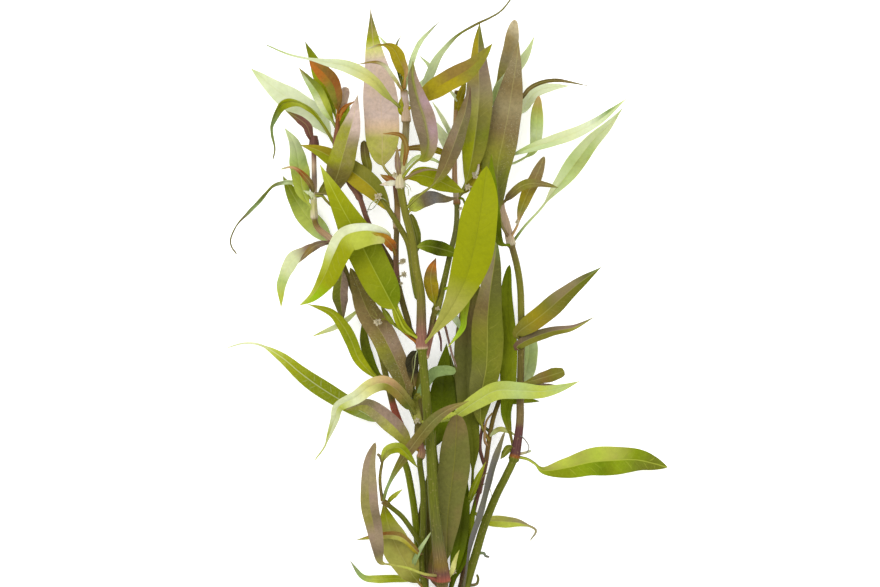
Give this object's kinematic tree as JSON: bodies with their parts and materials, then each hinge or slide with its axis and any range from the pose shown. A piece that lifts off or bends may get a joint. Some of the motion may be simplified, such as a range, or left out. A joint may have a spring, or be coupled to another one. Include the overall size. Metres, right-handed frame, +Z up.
{
  "type": "aquarium plant bunch",
  "caption": "Cut bunch of alternanthera reineckii lying flat: slender stems with swollen nodes and long lance-shaped green, olive and mauve leaves, tied at the foot.",
  "frame": {"origin": "centre of the bounding box, on the surface that the bunch lies on", "axes": "+Y from the cut stem ends to the leaf tips, +X across the bunch, +Z up from the surface"},
  "size_m": [0.1547, 0.2342, 0.0453],
  "materials": {
    "leaf_bright": "satin, translucent",
    "leaf_yellow": "satin, translucent",
    "leaf_olive": "satin",
    "leaf_dark": "satin",
    "leaf_pale": "satin, translucent",
    "leaf_mauve": "matt",
    "leaf_taupe": "matt",
    "leaf_rust": "satin, translucent",
    "leaf_brown": "satin",
    "stem_green": "satin",
    "stem_brown": "satin",
    "tie": "matt"
  },
  "bodies": {
    "root": {"stem_main": "stem_green", "stem_right": "stem_brown", "stem_left": "stem_green", "stem_inner_olive": "stem_green", "stem_lower_right": "stem_brown", "stem_thin_green": "stem_green", "side_shoot_low": "stem_green", "branch_left": "stem_brown", "shoot_upper_left": "stem_brown", "branch_middle": "stem_green", "leaf_crown_pale_left": "leaf_pale", "leaf_far_left_pale": "leaf_pale", "leaf_far_left_arch": "leaf_yellow", "leaf_left_shoot_dark": "leaf_dark", "leaf_left_shoot_green": "leaf_bright", "leaf_left_shoot_rust": "leaf_rust", "leaf_left_tall_mauve": "leaf_mauve", "leaf_left_olive_long": "leaf_yellow", "leaf_outer_left_light": "leaf_pale", "leaf_outer_left_hook": "leaf_olive", "leaf_outer_left_dark": "leaf_dark", "leaf_left_pale_hanging": "leaf_pale", "leaf_bright_fold": "leaf_bright", "leaf_bright_left": "leaf_bright", "leaf_left_grey_hanging": "leaf_taupe", "leaf_left_olive_arch": "leaf_olive", "leaf_lower_left_long": "leaf_yellow", "leaf_lower_left_taupe": "leaf_taupe", "leaf_lower_left_arch": "leaf_yellow", "leaf_left_big_taupe": "leaf_taupe", "leaf_crown_big_mauve": "leaf_mauve", "leaf_crown_arch_left": "leaf_rust", "leaf_front_mauve": "leaf_mauve", "leaf_crown_olive_right": "leaf_olive", "leaf_crown_tail": "leaf_pale", "leaf_tall_grey_olive": "leaf_olive", "leaf_speckled_taupe": "leaf_taupe", "leaf_back_damaged_tip": "leaf_brown", "leaf_right_green_upright": "leaf_bright", "leaf_right_pale_long": "leaf_pale", "leaf_right_pale_green": "leaf_pale", "leaf_right_brown": "leaf_brown", "leaf_right_brown_arch": "leaf_brown", "leaf_middle_olive_big": "leaf_olive", "leaf_middle_deep_green": "leaf_dark", "leaf_behind_front_leaf": "leaf_dark", "leaf_front_broad": "leaf_bright", "leaf_middle_mustard_strip": "leaf_yellow", "leaf_middle_mauve": "leaf_mauve", "leaf_middle_slate": "leaf_taupe", "leaf_lower_dark_back": "leaf_dark", "leaf_lower_dark_middle": "leaf_dark", "leaf_foot_olive_tall": "leaf_olive", "leaf_front_bright_right": "leaf_bright", "leaf_foot_olive_arch": "leaf_olive", "leaf_foot_bright_arch": "leaf_bright", "leaf_foot_mauve": "leaf_mauve", "leaf_foot_yellow_olive": "leaf_yellow", "leaf_lone_right": "leaf_bright", "tie": "tie"}
  },
  "joints": []
}
